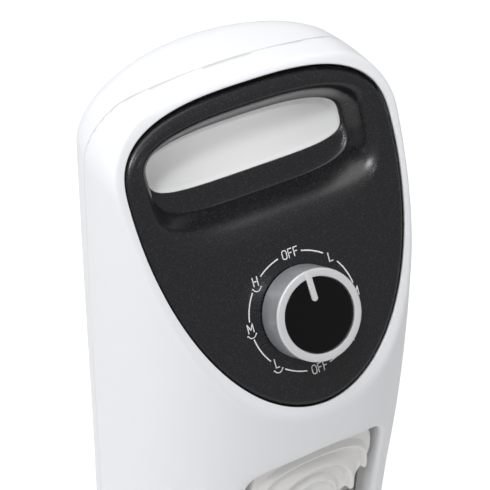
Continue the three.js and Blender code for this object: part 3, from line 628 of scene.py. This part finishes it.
def panel_ring(turn, index):
    """One ring of the panel's face: up from the finger hole, across the flat, over the edge."""
    if index < len(POCKET_RINGS):
        half, up, down, power, below, ends, above = POCKET_RINGS[index]
        x, s = power_oval(turn, half, up, down, 2.6, power, POCKET_CENTRE)
        return np.stack([x, s, -ring_depth(turn, below, ends, above)])
    edge = max(0, index - len(POCKET_RINGS) - FLAT_RINGS)
    inset, inset_top, depth, depth_top = EDGE_RINGS[edge]
    top = smooth_step(np.sin(turn))
    x, s = panel_oval(turn, 0)
    near_x, near_s = panel_oval(turn, -10)
    way = np.stack([near_x - x, near_s - s])
    way /= np.linalg.norm(way, axis=0)
    x, s = np.stack([x, s]) + way * (inset + (inset_top - inset) * top)
    outer = np.stack([x, s, -(depth + (depth_top - depth) * top)])
    across = (index - len(POCKET_RINGS) + 1) / (FLAT_RINGS + 1)
    if across >= 1:
        return outer
    return panel_ring(turn, len(POCKET_RINGS) - 1) * (1 - across) + outer * across


PANEL_ROWS = len(POCKET_RINGS) + FLAT_RINGS + len(EDGE_RINGS) - 1


def ring_sheet(rows, ring, sink=0.0):
    """A place function for wrapped_grid, from a function that gives each ring on the face."""
    def place(turn, along):
        points = np.zeros((len(turn), 3))
        index = np.rint(along * rows).astype(int)
        for row in range(rows + 1):
            here = index == row
            x, s, out = ring(turn[here] * math.tau, row)
            points[here] = on_face(x, s, out - sink)
        return points
    return place


def face_towards(bm, direction):
    """Turns an open sheet so that its faces look one way."""
    bmesh.ops.recalc_face_normals(bm, faces=bm.faces)
    if sum(f.calc_area() * f.normal.dot(direction) for f in bm.faces) < 0:
        bmesh.ops.reverse_faces(bm, faces=bm.faces)


panel_sheet = wrapped_grid(PANEL_COLUMNS, PANEL_ROWS, ring_sheet(PANEL_ROWS, panel_ring, PANEL_SINK))
face_towards(panel_sheet, FACE_OUT)

# Charcoal ABS with a fine aluminium fleck in it: semi-gloss, with a faint sparkle.
FLECK = 0.5  # mm, several times the real flake, so that it shows
charcoal_abs, tree, shader = new_material("metallic-flecked ABS, moulded charcoal", "#19191b", 0.26)
place = add_node(tree, "ShaderNodeTexCoord")
flake = add_node(tree, "ShaderNodeTexVoronoi", {"Scale": 1 / (FLECK * MM)},
                 {"Vector": place.outputs["Object"]})
flake_tone = add_node(tree, "ShaderNodeSeparateColor", {}, {"Color": flake.outputs["Color"]})
bright = add_node(tree, "ShaderNodeMapRange", {"From Min": 0.72, "From Max": 1.0},
                  {"Value": flake_tone.outputs["Red"]})
two_tones(tree, shader, bright.outputs["Result"], "#161618", "#2a2a2e")
add_bump(tree, shader, add_noise(tree, 900.0, 2.0), 0.10, 0.00008)

control_panel = add_piece("control_panel", panel_sheet, charcoal_abs, "column",
                          ["control_panel"])
give_wall(control_panel, PANEL_WALL)
rounding = control_panel.modifiers.new("rounding", "SUBSURF")
rounding.levels = rounding.render_levels = 1
shaft_hole = bmesh.new()
FACE_FRAME = Matrix((Vector((1, 0, 0)), FACE_UP, FACE_OUT)).transposed().to_4x4()
FACE_FRAME.translation = DIAL
turned(shaft_hole, [(0, -12), (SHAFT_HOLE_RADIUS, -12), (SHAFT_HOLE_RADIUS, 6), (0, 6)], 48,
       FACE_FRAME)
cut_away(control_panel, shaft_hole)

# ---------------------------------------------------------------- hand pocket
# A white ABS cup fixed behind the finger hole. Its floor is level and its back wall is parallel
# to the sloping face, with a soft fillet between the two.
CUP_WALL = 2.0
CUP_FLOOR_RISE = FACE_UP.y / FACE_UP.z  # a level floor climbs the slope as it goes back
CUP_MOUTH_DEPTH, CUP_MOUTH_LOW = 18.8, 68.6
# depth, half width, how far the lower side is lifted off the level floor, and the upper side
CUP_RINGS = (
    (18.8, 53.4, 0.0, 96.0),
    (22.0, 53.4, 0.0, 96.3),
    (25.0, 53.3, 0.1, 96.4),
    (27.5, 52.9, 0.6, 96.2),
    (29.3, 52.0, 1.7, 95.6),
    (30.5, 50.5, 3.3, 94.6),
    (31.0, 48.0, 5.6, 93.2),
    (31.0, 44.0, 8.4, 91.6),
)
CUP_BACK = 30.5  # deeper than this is the back wall

# The same ABS as the shells in a matt white, painted brighter than theirs: painted light that lifts
# the shade inside the pocket.
pocket_abs_painted_brighter, tree, shader = new_material("moulded ABS, matt white", "#fbfbfb", 0.55)
add_bump(tree, shader, add_noise(tree, 1 / (ABS_GRAIN * MM), 2.0), 0.08, 0.00006)


def cup_ring(turn, index):
    """One ring of the cup, at its own depth behind the face."""
    depth, half, lift, high = CUP_RINGS[index]
    low = CUP_MOUTH_LOW + (depth - CUP_MOUTH_DEPTH) * CUP_FLOOR_RISE + lift
    x, s = power_oval(turn, half, (high - low) / 2, (high - low) / 2, 4, 4, (high + low) / 2)
    return np.stack([x, s, np.full_like(x, -depth)])


cup = wrapped_grid(96, len(CUP_RINGS) - 1, ring_sheet(len(CUP_RINGS) - 1, cup_ring))
inner_rim = [e for e in cup.edges if e.is_boundary
             and all((v.co - DIAL).dot(FACE_OUT) < -CUP_BACK * MM for v in e.verts)]
bmesh.ops.edgeloop_fill(cup, edges=inner_rim)
face_towards(cup, FACE_OUT)
# The cup's brighter white is painted light against the shade in the pocket.
hand_pocket = add_piece("hand_pocket", cup, pocket_abs_painted_brighter, "column", ["hand_pocket"], 40)
give_wall(hand_pocket, CUP_WALL)

# ---------------------------------------------------------------- dial print
# White screen-printed settings round the knob: off at the top and the bottom, and three heats
# on each side, the left three over a small barbed arc for the swing.
DIAL_RING = 28.4
STROKE = 0.62
INK_LIFT = 0.06 - PANEL_SINK
marks = bmesh.new()


def stroke(x0, s0, x1, s1, width=STROKE):
    """A straight stroke of ink between two points on the face."""
    length = math.hypot(x1 - x0, s1 - s0)
    place = (Matrix.Translation(((x0 + x1) / 2 * MM, (s0 + s1) / 2 * MM, INK_LIFT * MM))
             @ Matrix.Rotation(math.atan2(s1 - s0, x1 - x0), 4, "Z")
             @ Matrix.Diagonal(((length + width * 0.6) * MM, width * MM, 1, 1)))
    bmesh.ops.create_grid(marks, x_segments=1, y_segments=1, size=0.5, matrix=place)


def bow(x, s, radius, start, end, width=STROKE):
    """An arc of ink about a point, from one angle to another, in degrees from the right."""
    angle = math.radians(start)
    across = Vector((math.cos(angle), math.sin(angle), 0))
    middle = Vector((x, s, INK_LIFT)) * MM
    pair = [marks.verts.new(middle + across * (radius + side * width / 2) * MM) for side in (-1, 1)]
    edge = marks.edges.new(pair)
    bmesh.ops.spin(marks, geom=[*pair, edge], cent=middle, axis=(0, 0, 1),
                   angle=math.radians(end - start), steps=max(6, int(abs(end - start) / 4)))


LETTER_TALL = 4.2
LETTERS = {  # strokes from the letter's lower left corner, and its width
    "F": (1.9, [(0, 0, 0, 1), (0, 1, 1, 1), (0, 0.54, 0.85, 0.54)]),
    "L": (1.9, [(0, 0, 0, 1), (0, 0, 1, 0)]),
    "M": (2.7, [(0, 0, 0, 1), (0, 1, 0.5, 0.3), (0.5, 0.3, 1, 1), (1, 1, 1, 0)]),
    "H": (2.3, [(0, 0, 0, 1), (1, 0, 1, 1), (0, 0.5, 1, 0.5)]),
}
LETTER_O = 2.3
LETTER_GAP = 1.0


def write(word, x, s):
    """Thin upright letters, centred on a point of the face."""
    widths = [LETTER_O if letter == "O" else LETTERS[letter][0] for letter in word]
    left = x - (sum(widths) + LETTER_GAP * (len(word) - 1)) / 2
    low = s - LETTER_TALL / 2
    for letter, width in zip(word, widths):
        if letter == "O":
            r = LETTER_O / 2
            bow(left + r, low + LETTER_TALL - r, r, 0, 180, 0.5)
            bow(left + r, low + r, r, 180, 360, 0.5)
            for side in (0, LETTER_O):
                stroke(left + side, low + r, left + side, low + LETTER_TALL - r, 0.5)
        else:
            for x0, s0, x1, s1 in LETTERS[letter][1]:
                stroke(left + x0 * width, low + s0 * LETTER_TALL,
                       left + x1 * width, low + s1 * LETTER_TALL, 0.5)
        left += width + LETTER_GAP


SWING_SIGN = 2.1


def swing_sign(x, s):
    """The small open smile with a barb at each end, under a heat that swings."""
    bow(x, s, SWING_SIGN, 190, 350, 0.44)
    for side in (-1, 1):
        tip_x, tip_s = x + side * SWING_SIGN, s - 0.3
        stroke(tip_x, tip_s, tip_x + side * 0.45, tip_s - 0.45, 0.34)


# setting, degrees clockwise from the top, and whether it also swings
SETTINGS = (("OFF", 0, False), ("L", 45, False), ("M", 90, False), ("H", 135, False),
            ("OFF", 180, False), ("L", 225, True), ("M", 270, True), ("H", 315, True))
for word, clockwise, swings in SETTINGS:
    angle = math.radians(90 - clockwise)
    x, s = DIAL_RING * math.cos(angle), DIAL_RING * math.sin(angle)
    write(word, x + (0.4 if word == "OFF" else 0), s + (1.3 if swings else 0))
    if swings:
        swing_sign(x, s - 1.3)
    clear = 12.5 if word == "OFF" else 8.5
    clear_next = 12.5 if clockwise in (135, 315) else 8.5
    bow(0, 0, DIAL_RING, 90 - clockwise - clear, 45 - clockwise + clear_next)
bmesh.ops.recalc_face_normals(marks, faces=marks.faces)
if sum(f.normal.z for f in marks.faces) < 0:
    bmesh.ops.reverse_faces(marks, faces=marks.faces)
bmesh.ops.transform(marks, matrix=FACE_FRAME, verts=marks.verts)

# Matt white screen ink with a faint mottling, where it lies a little thin.
ink, tree, shader = new_material("screen-printed ink, matt white", "#dcdcdc", 0.6)
two_tones(tree, shader, add_noise(tree, 700.0, 1.0), "#dededf", "#f6f6f6")
add_piece("dial_marks", marks, ink, "column")

# ---------------------------------------------------------------- knob
# A silver ABS cap, 16 mm tall, with a nearly straight skirt and a flat front ring. A glossy
# black disc sits in it, and a painted bar runs in from the ring to point at the setting.
RING_FACE = 15.5  # the skirt's faces above this height take the ring's paint
POINTER_TURN = 0.045
POINTER_HALF, POINTER_FROM, POINTER_TO = 1.5, 7.0, 21.7
POINTER_LOW, POINTER_HIGH = 15.2, 16.3
skirt = bmesh.new()
turned(skirt, [
    (20.3, 0.6), (22.0, 0.6), (22.2, 0.8), (22.15, 2), (22.0, 13.6), (21.95, 14.8), (21.8, 15.4),
    (21.55, 15.75), (21.2, 15.93), (20.7, 16), (18.5, 16), (18.15, 15.9), (18.0, 15.6),
    (18.0, 13), (4.4, 13), (4.4, 10), (18.9, 10), (20.3, 0.6),
], 128, FACE_FRAME)

# Silver paint with fine flake over ABS: a smooth metallic side, which mirrors the charcoal panel
# low down, and a paler, flatter coat on the ring that faces the user.
paints = []
for name, base, rough_from, rough_to, metallic in (
        ("silver lacquer on ABS, satin side", "#dcdfe2", 0.28, 0.36, 0.7),
        ("silver paint on ABS, pale ring", "#dcdcde", 0.32, 0.44, 0.2)):
    paint, tree, shader = new_material(name, base, rough_from, Metallic=metallic)
    flake = add_noise(tree, 2500.0, 1.0)
    vary_gloss(tree, shader, flake, rough_from, rough_to)
    add_bump(tree, shader, flake, 0.02, 0.00003)
    paints.append(paint)
silver_side, silver_ring = paints
knob_skirt = add_piece("knob_skirt", skirt, silver_side, "knob", ["knob_skirt"], 40)
knob_skirt.data.materials.append(silver_ring)
for face in knob_skirt.data.polygons:
    if (FACE_FRAME.inverted() @ face.center).z > RING_FACE * MM:
        face.material_index = 1

disc = bmesh.new()
turned(disc, [(0, 13.2), (17.7, 13.2), (17.7, 14.8), (17.5, 15.1), (17.0, 15.25), (8, 15.34),
              (0, 15.36)], 128, FACE_FRAME)
# Polished black acrylic: it mirrors the room, with hardly any texture of its own.
black_gloss, tree, shader = new_material("polished black acrylic", "#050506", 0.07,
                                         Specular_IOR_Level=0.22)
vary_gloss(tree, shader, add_noise(tree, 60.0, 3.0), 0.05, 0.12)
add_piece("knob_disc", disc, black_gloss, "knob", ["knob_disc"], 40)

pointer = bmesh.new()
add_block(pointer, (-POINTER_HALF, POINTER_FROM, POINTER_LOW),
          (POINTER_HALF, POINTER_TO, POINTER_HIGH))
inner_edges = [e for e in pointer.edges
               if abs(e.verts[0].co.z - e.verts[1].co.z) > 1e-5 and e.verts[0].co.y < 0.01]
bmesh.ops.bevel(pointer, geom=inner_edges, offset=0.00149, affect="EDGES", segments=8, profile=0.5,
                material=-1)
top_edges = [e for e in pointer.edges if min(v.co.z for v in e.verts) > (POINTER_HIGH - 0.1) * MM]
bmesh.ops.bevel(pointer, geom=top_edges, offset=0.00035, affect="EDGES", segments=3, profile=0.5,
                material=-1)
bmesh.ops.transform(pointer, matrix=FACE_FRAME @ Matrix.Rotation(POINTER_TURN, 4, "Z"),
                    verts=pointer.verts)
add_piece("knob_pointer", pointer, silver_ring, "knob", ["knob_pointer"], 30)

# ---------------------------------------------------------------- front fin
# Pressed steel with three raised ovals one inside the other, welded round its edge and coated
# in a warm white stove enamel. Narrow slots beside the outer oval let the air through.
fin_low, fin_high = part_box("fin_1")
FIN_LOW, FIN_HIGH = fin_low.z / MM, fin_high.z / MM
FIN_FACE = fin_low.y / MM + 1.5
# half width, drop from the ends, height of the rounded end, its power, and the press depth
FIN_RINGS = (
    (34.2, 1.0, 24, 3.2, 8.0),
    (35.0, 0.0, 24, 3.2, 7.0),
    (35.0, 0.0, 24, 3.2, 1.8),
    (34.5, 0.6, 24, 3.2, 0.6),
    (33.7, 1.5, 24, 3.2, 0.1),
    (33.0, 5.0, 24, 3.1, 0.0),
    (32.4, 7.6, 24, 3.0, -0.4),
    (31.8, 8.8, 24, 2.9, -2.0),
    (31.2, 9.9, 24, 2.9, -2.9),
    (30.6, 10.9, 24, 2.9, -2.7),
    (30.2, 11.5, 24, 2.8, -1.6),
    (29.9, 12.0, 24, 2.8, 0.0),
    (29.3, 12.6, 24, 2.8, 0.3),
    (26.9, 14.6, 26, 2.5, -0.1),
    (25.3, 16.0, 26, 2.4, -1.8),
    (24.0, 17.4, 27, 2.4, -3.8),
    (23.0, 18.6, 27, 2.4, -4.2),
    (22.2, 19.6, 27, 2.4, -3.4),
    (21.6, 20.4, 26, 2.4, -1.2),
    (21.1, 21.0, 26, 2.4, 0.2),
    (20.4, 21.9, 26, 2.4, 0.3),
    (17.2, 27.2, 22, 2.2, 0.0),
    (16.2, 28.5, 20, 2.2, -1.5),
    (15.3, 29.6, 20, 2.2, -2.7),
    (14.6, 30.5, 20, 2.2, -2.4),
    (14.1, 31.1, 19, 2.2, -1.0),
    (13.7, 31.7, 19, 2.2, 0.2),
    (12.8, 33.0, 18, 2.2, 0.3),
    (7.0, 41.0, 12, 2.0, 0.3),
)
FIN_WALL = 1.0
FIN_CENTRE_REACH = 7.5  # the innermost ring lies within this of the middle


def fin_face(turn, along):
    """The front of the fin, ring by ring from its folded edge to the middle."""
    points = np.zeros((len(turn), 3))
    index = np.rint(along * (len(FIN_RINGS) - 1)).astype(int)
    for row, (half, drop, cap, power, depth) in enumerate(FIN_RINGS):
        here = index == row
        angle = turn[here] * math.tau
        x, z = power_oval(angle, half, cap, cap, power, power, 0)
        middle, straight = (FIN_LOW + FIN_HIGH) / 2, (FIN_HIGH - FIN_LOW) / 2 - drop - cap
        z = z + np.where(np.sin(angle) >= 0, straight, -straight) + middle
        points[here] = np.stack([x, np.full_like(x, FIN_FACE + depth), z], 1)
    return points


# Known fault: the grid's two ends are both on the right, one at each rounded end of the fin, and
# nothing joins them. Between the rounded ends only the left 28 mm of the fin's 70 mm is there.
fin = wrapped_grid(160, len(FIN_RINGS) - 1, fin_face, shift=Vector())
inner_rim = [e for e in fin.edges if e.is_boundary
             and max(abs(v.co.x) for v in e.verts) < FIN_CENTRE_REACH * MM]
bmesh.ops.edgeloop_fill(fin, edges=inner_rim)
face_towards(fin, Vector((0, -1, 0)))

# Stove enamel over pressed steel: warm off-white with a low sheen and a fine orange peel.
stove_enamel, tree, shader = new_material("stove enamel on steel, warm white", "#eeedea", 0.30)
add_bump(tree, shader, add_noise(tree, 550.0, 2.0), 0.10, 0.0001)
two_tones(tree, shader, add_noise(tree, 25.0, 2.0), "#ebeae6", "#f1f0ed")

fin_1 = add_piece("fin_1", fin, stove_enamel, "column", ["fin_1"], 50)
give_wall(fin_1, FIN_WALL)
SLOT_FROM_END = 44
SLOT_LOW, SLOT_HIGH = FIN_LOW + SLOT_FROM_END, FIN_HIGH - SLOT_FROM_END
slots = bmesh.new()
for side in (-1, 1):
    near, far = sorted((side * 32.2, side * 40))
    notch = add_block(slots, (near, -80, SLOT_LOW), (far, -50, SLOT_HIGH))
    round_edges(slots, notch, 1, 1.5)
    near, far = sorted((side * 27.2, side * 28.8))
    slit = add_block(slots, (near, -80, SLOT_LOW + 6), (far, -50, SLOT_HIGH - 6))
    round_edges(slots, slit, 1, 0.75)
cut_away(fin_1, slots)

# ---------------------------------------------------------------- base
# A round white ABS dome over a steel plate. The column turns on it, on a nylon bush, and a
# curved slot lets the crank pin through.
base_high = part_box("base_cover")[1]
BASE_RADIUS = base_high.x / MM
BASE_TOP = base_high.z / MM
DOME_FROM = 66
DOME_EDGE = 12
BASE_WALL = 2.5
BORE = 20.3


def dome_height(radius):
    """The height of the dome's top at a distance from its middle."""
    out = (radius - DOME_FROM) / (BASE_RADIUS - DOME_FROM)
    return DOME_EDGE + (BASE_TOP - DOME_EDGE) * max(0.0, math.cos(out * math.pi / 2)) ** 0.8


dome = [(DOME_FROM + (BASE_RADIUS - DOME_FROM) * math.sin(i / 20 * math.pi / 2)) for i in range(21)]
outer = [(r, dome_height(r)) for r in dome]
inner = [(min(r, BASE_RADIUS - BASE_WALL), max(dome_height(r) - BASE_WALL, 9)) for r in dome]
base = bmesh.new()
turned(base, [(BORE, BASE_TOP - BASE_WALL), *inner, (BASE_RADIUS - BASE_WALL, 2.2),
              (BASE_RADIUS - 0.4, 2.0), (BASE_RADIUS, 2.4), *reversed(outer),
              (BORE + 0.4, BASE_TOP), (BORE, BASE_TOP - 0.4), (BORE, BASE_TOP - BASE_WALL)], 160)
base_cover = add_piece("base_cover", base, white_abs, "base", ["base_cover"], 35)
pin_slot = bmesh.new()
slot_block = add_block(pin_slot, (-4.6, 33, 20), (4.6, 63, 40))
round_edges(pin_slot, slot_block, 2, 4.5, 8)
cut_away(base_cover, pin_slot)

# ---------------------------------------------------------------- cable gland
# A black nylon bush with a short taper, pressed into the back where the mains lead goes in.
NYLON_BLACK = "#171718"
black_nylon, tree, shader = new_material("moulded nylon, black", NYLON_BLACK, 0.5)
add_bump(tree, shader, add_noise(tree, 1600.0, 2.0), 0.25, 0.00005)
gland = bmesh.new()
turned(gland, [(3.6, 0), (6, 0), (6, 10.6), (9, 10.6), (9, 11.4), (8.6, 12), (8, 12.6), (5.6, 16.4),
               (5.2, 16.9), (4.8, 17), (3.9, 17), (3.6, 16.7), (3.6, 0)], 64,
       Matrix.Translation(gland_at) @ ALONG_Y)
add_piece("cable_gland", gland, black_nylon, "column", ["cable_gland"], 35)

# ---------------------------------------------------------------- screws
# Zinc-plated pan heads with a cross recess: four in the wells at the back, and four up through
# the base plate. The recess is cut one blade at a time, as two crossed blades cut badly at once.
SCREW_LENGTH, SHELL_SCREW_HEAD, BASE_SCREW_HEAD = 11.8, 3.6, 3.4
zinc, tree, shader = new_material("zinc-plated steel", "#a9abad", 0.38, Metallic=1.0)
spangle = add_noise(tree, 350.0, 3.0)
two_tones(tree, shader, spangle, "#9b9da0", "#b6b8ba")
vary_gloss(tree, shader, spangle, 0.3, 0.5)


def cross_screw(name, body, head_at, radius, length):
    """head_at places the screw: Z out of its head, with the top of the head at zero."""
    bm = bmesh.new()
    shank = radius * 0.42
    turned(bm, [(0, -length), (shank, -length), (shank, -2.2), (radius, -2.2), (radius, -1.5),
                (radius * 0.86, -0.7), (radius * 0.55, -0.15), (0, 0)], 40, head_at)
    screw = add_piece(name, bm, zinc, body, [name], 35)
    for long, wide in ((radius * 0.55, 0.45), (0.45, radius * 0.55)):
        blade = bmesh.new()
        add_block(blade, (-long, -wide, -1.2), (long, wide, 1))
        bmesh.ops.transform(blade, matrix=head_at, verts=blade.verts)
        cut_away(screw, blade)


for i, (low, high) in enumerate(screw_boxes, 1):
    head = Vector(((low.x + high.x) / 2, high.y, (low.z + high.z) / 2))
    cross_screw(f"shell_screw_{i}", "column", Matrix.Translation(head) @ ALONG_Y,
                SHELL_SCREW_HEAD, SCREW_LENGTH)
UPSIDE_DOWN = Matrix.Rotation(math.pi, 4, "X")
for i in range(1, 5):
    low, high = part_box(f"base_screw_{i}")
    head = Vector(((low.x + high.x) / 2, (low.y + high.y) / 2, low.z))
    cross_screw(f"base_screw_{i}", "base", Matrix.Translation(head) @ UPSIDE_DOWN,
                BASE_SCREW_HEAD, SCREW_LENGTH)

# ---------------------------------------------------------------- pieces inside and underneath
# The rest keep their CAD shapes: the oil core, its headers and fittings, the brackets, the
# swing drive, the wiring, and the plate, bush, feet and tip-over switch of the base.


def grained(name, base, other, roughness, scale, strength, **uniform):
    """A plain finish with two close tones, a drift of gloss and a fine bump."""
    made, tree, shader = new_material(name, base, roughness, **uniform)
    noise = add_noise(tree, scale, 3.0)
    two_tones(tree, shader, noise, base, other)
    vary_gloss(tree, shader, noise, roughness - 0.06, roughness + 0.08)
    add_bump(tree, shader, noise, strength, 0.00008)
    return made


rolled_steel = grained("cold-rolled steel", "#8f9193", "#a3a5a7", 0.42, 240.0, 0.15, Metallic=1.0)
turned_brass = grained("turned brass", "#b08d45", "#c09c55", 0.32, 300.0, 0.1, Metallic=1.0)
nylon = grained("moulded nylon, natural", "#e0ddd3", "#e9e6dd", 0.48, 500.0, 0.2)
tread_rubber = grained("moulded rubber, black", "#161616", "#1e1e1e", 0.8, 900.0, 0.4)
lead_sleeve = grained("silicone lead sleeve, brown", "#62351f", "#6d3d26", 0.6, 600.0, 0.2)
FINISHES = (
    (stove_enamel, ("fin_2", "fin_3", "fin_4", "fin_5", "top_header", "bottom_header")),
    (rolled_steel, ("heating_element", "heat_baffle", "top_bracket", "bottom_bracket", "spindle",
                    "retaining_ring", "swing_motor", "crank_pin", "base_plate", "plunger_spring",
                    "knob_shaft")),
    (turned_brass, ("filler_plug", "element_flange")),
    (nylon, ("terminal_block", "crank_arm", "swivel_bush", "tip_plunger")),
    (black_nylon, ("rotary_switch", "thermal_cutout", "column_floor", "tip_switch")),
    (tread_rubber, ("flange_gasket", "foot_1", "foot_2", "foot_3", "foot_4")),
    (lead_sleeve, ("live_lead", "neutral_lead")),
)
for material, names in FINISHES:
    for name in names:
        slots_of = frame["nodes"][name].data.materials
        slots_of.clear()
        slots_of.append(material)

# ---------------------------------------------------------------- sizes
low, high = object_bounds()
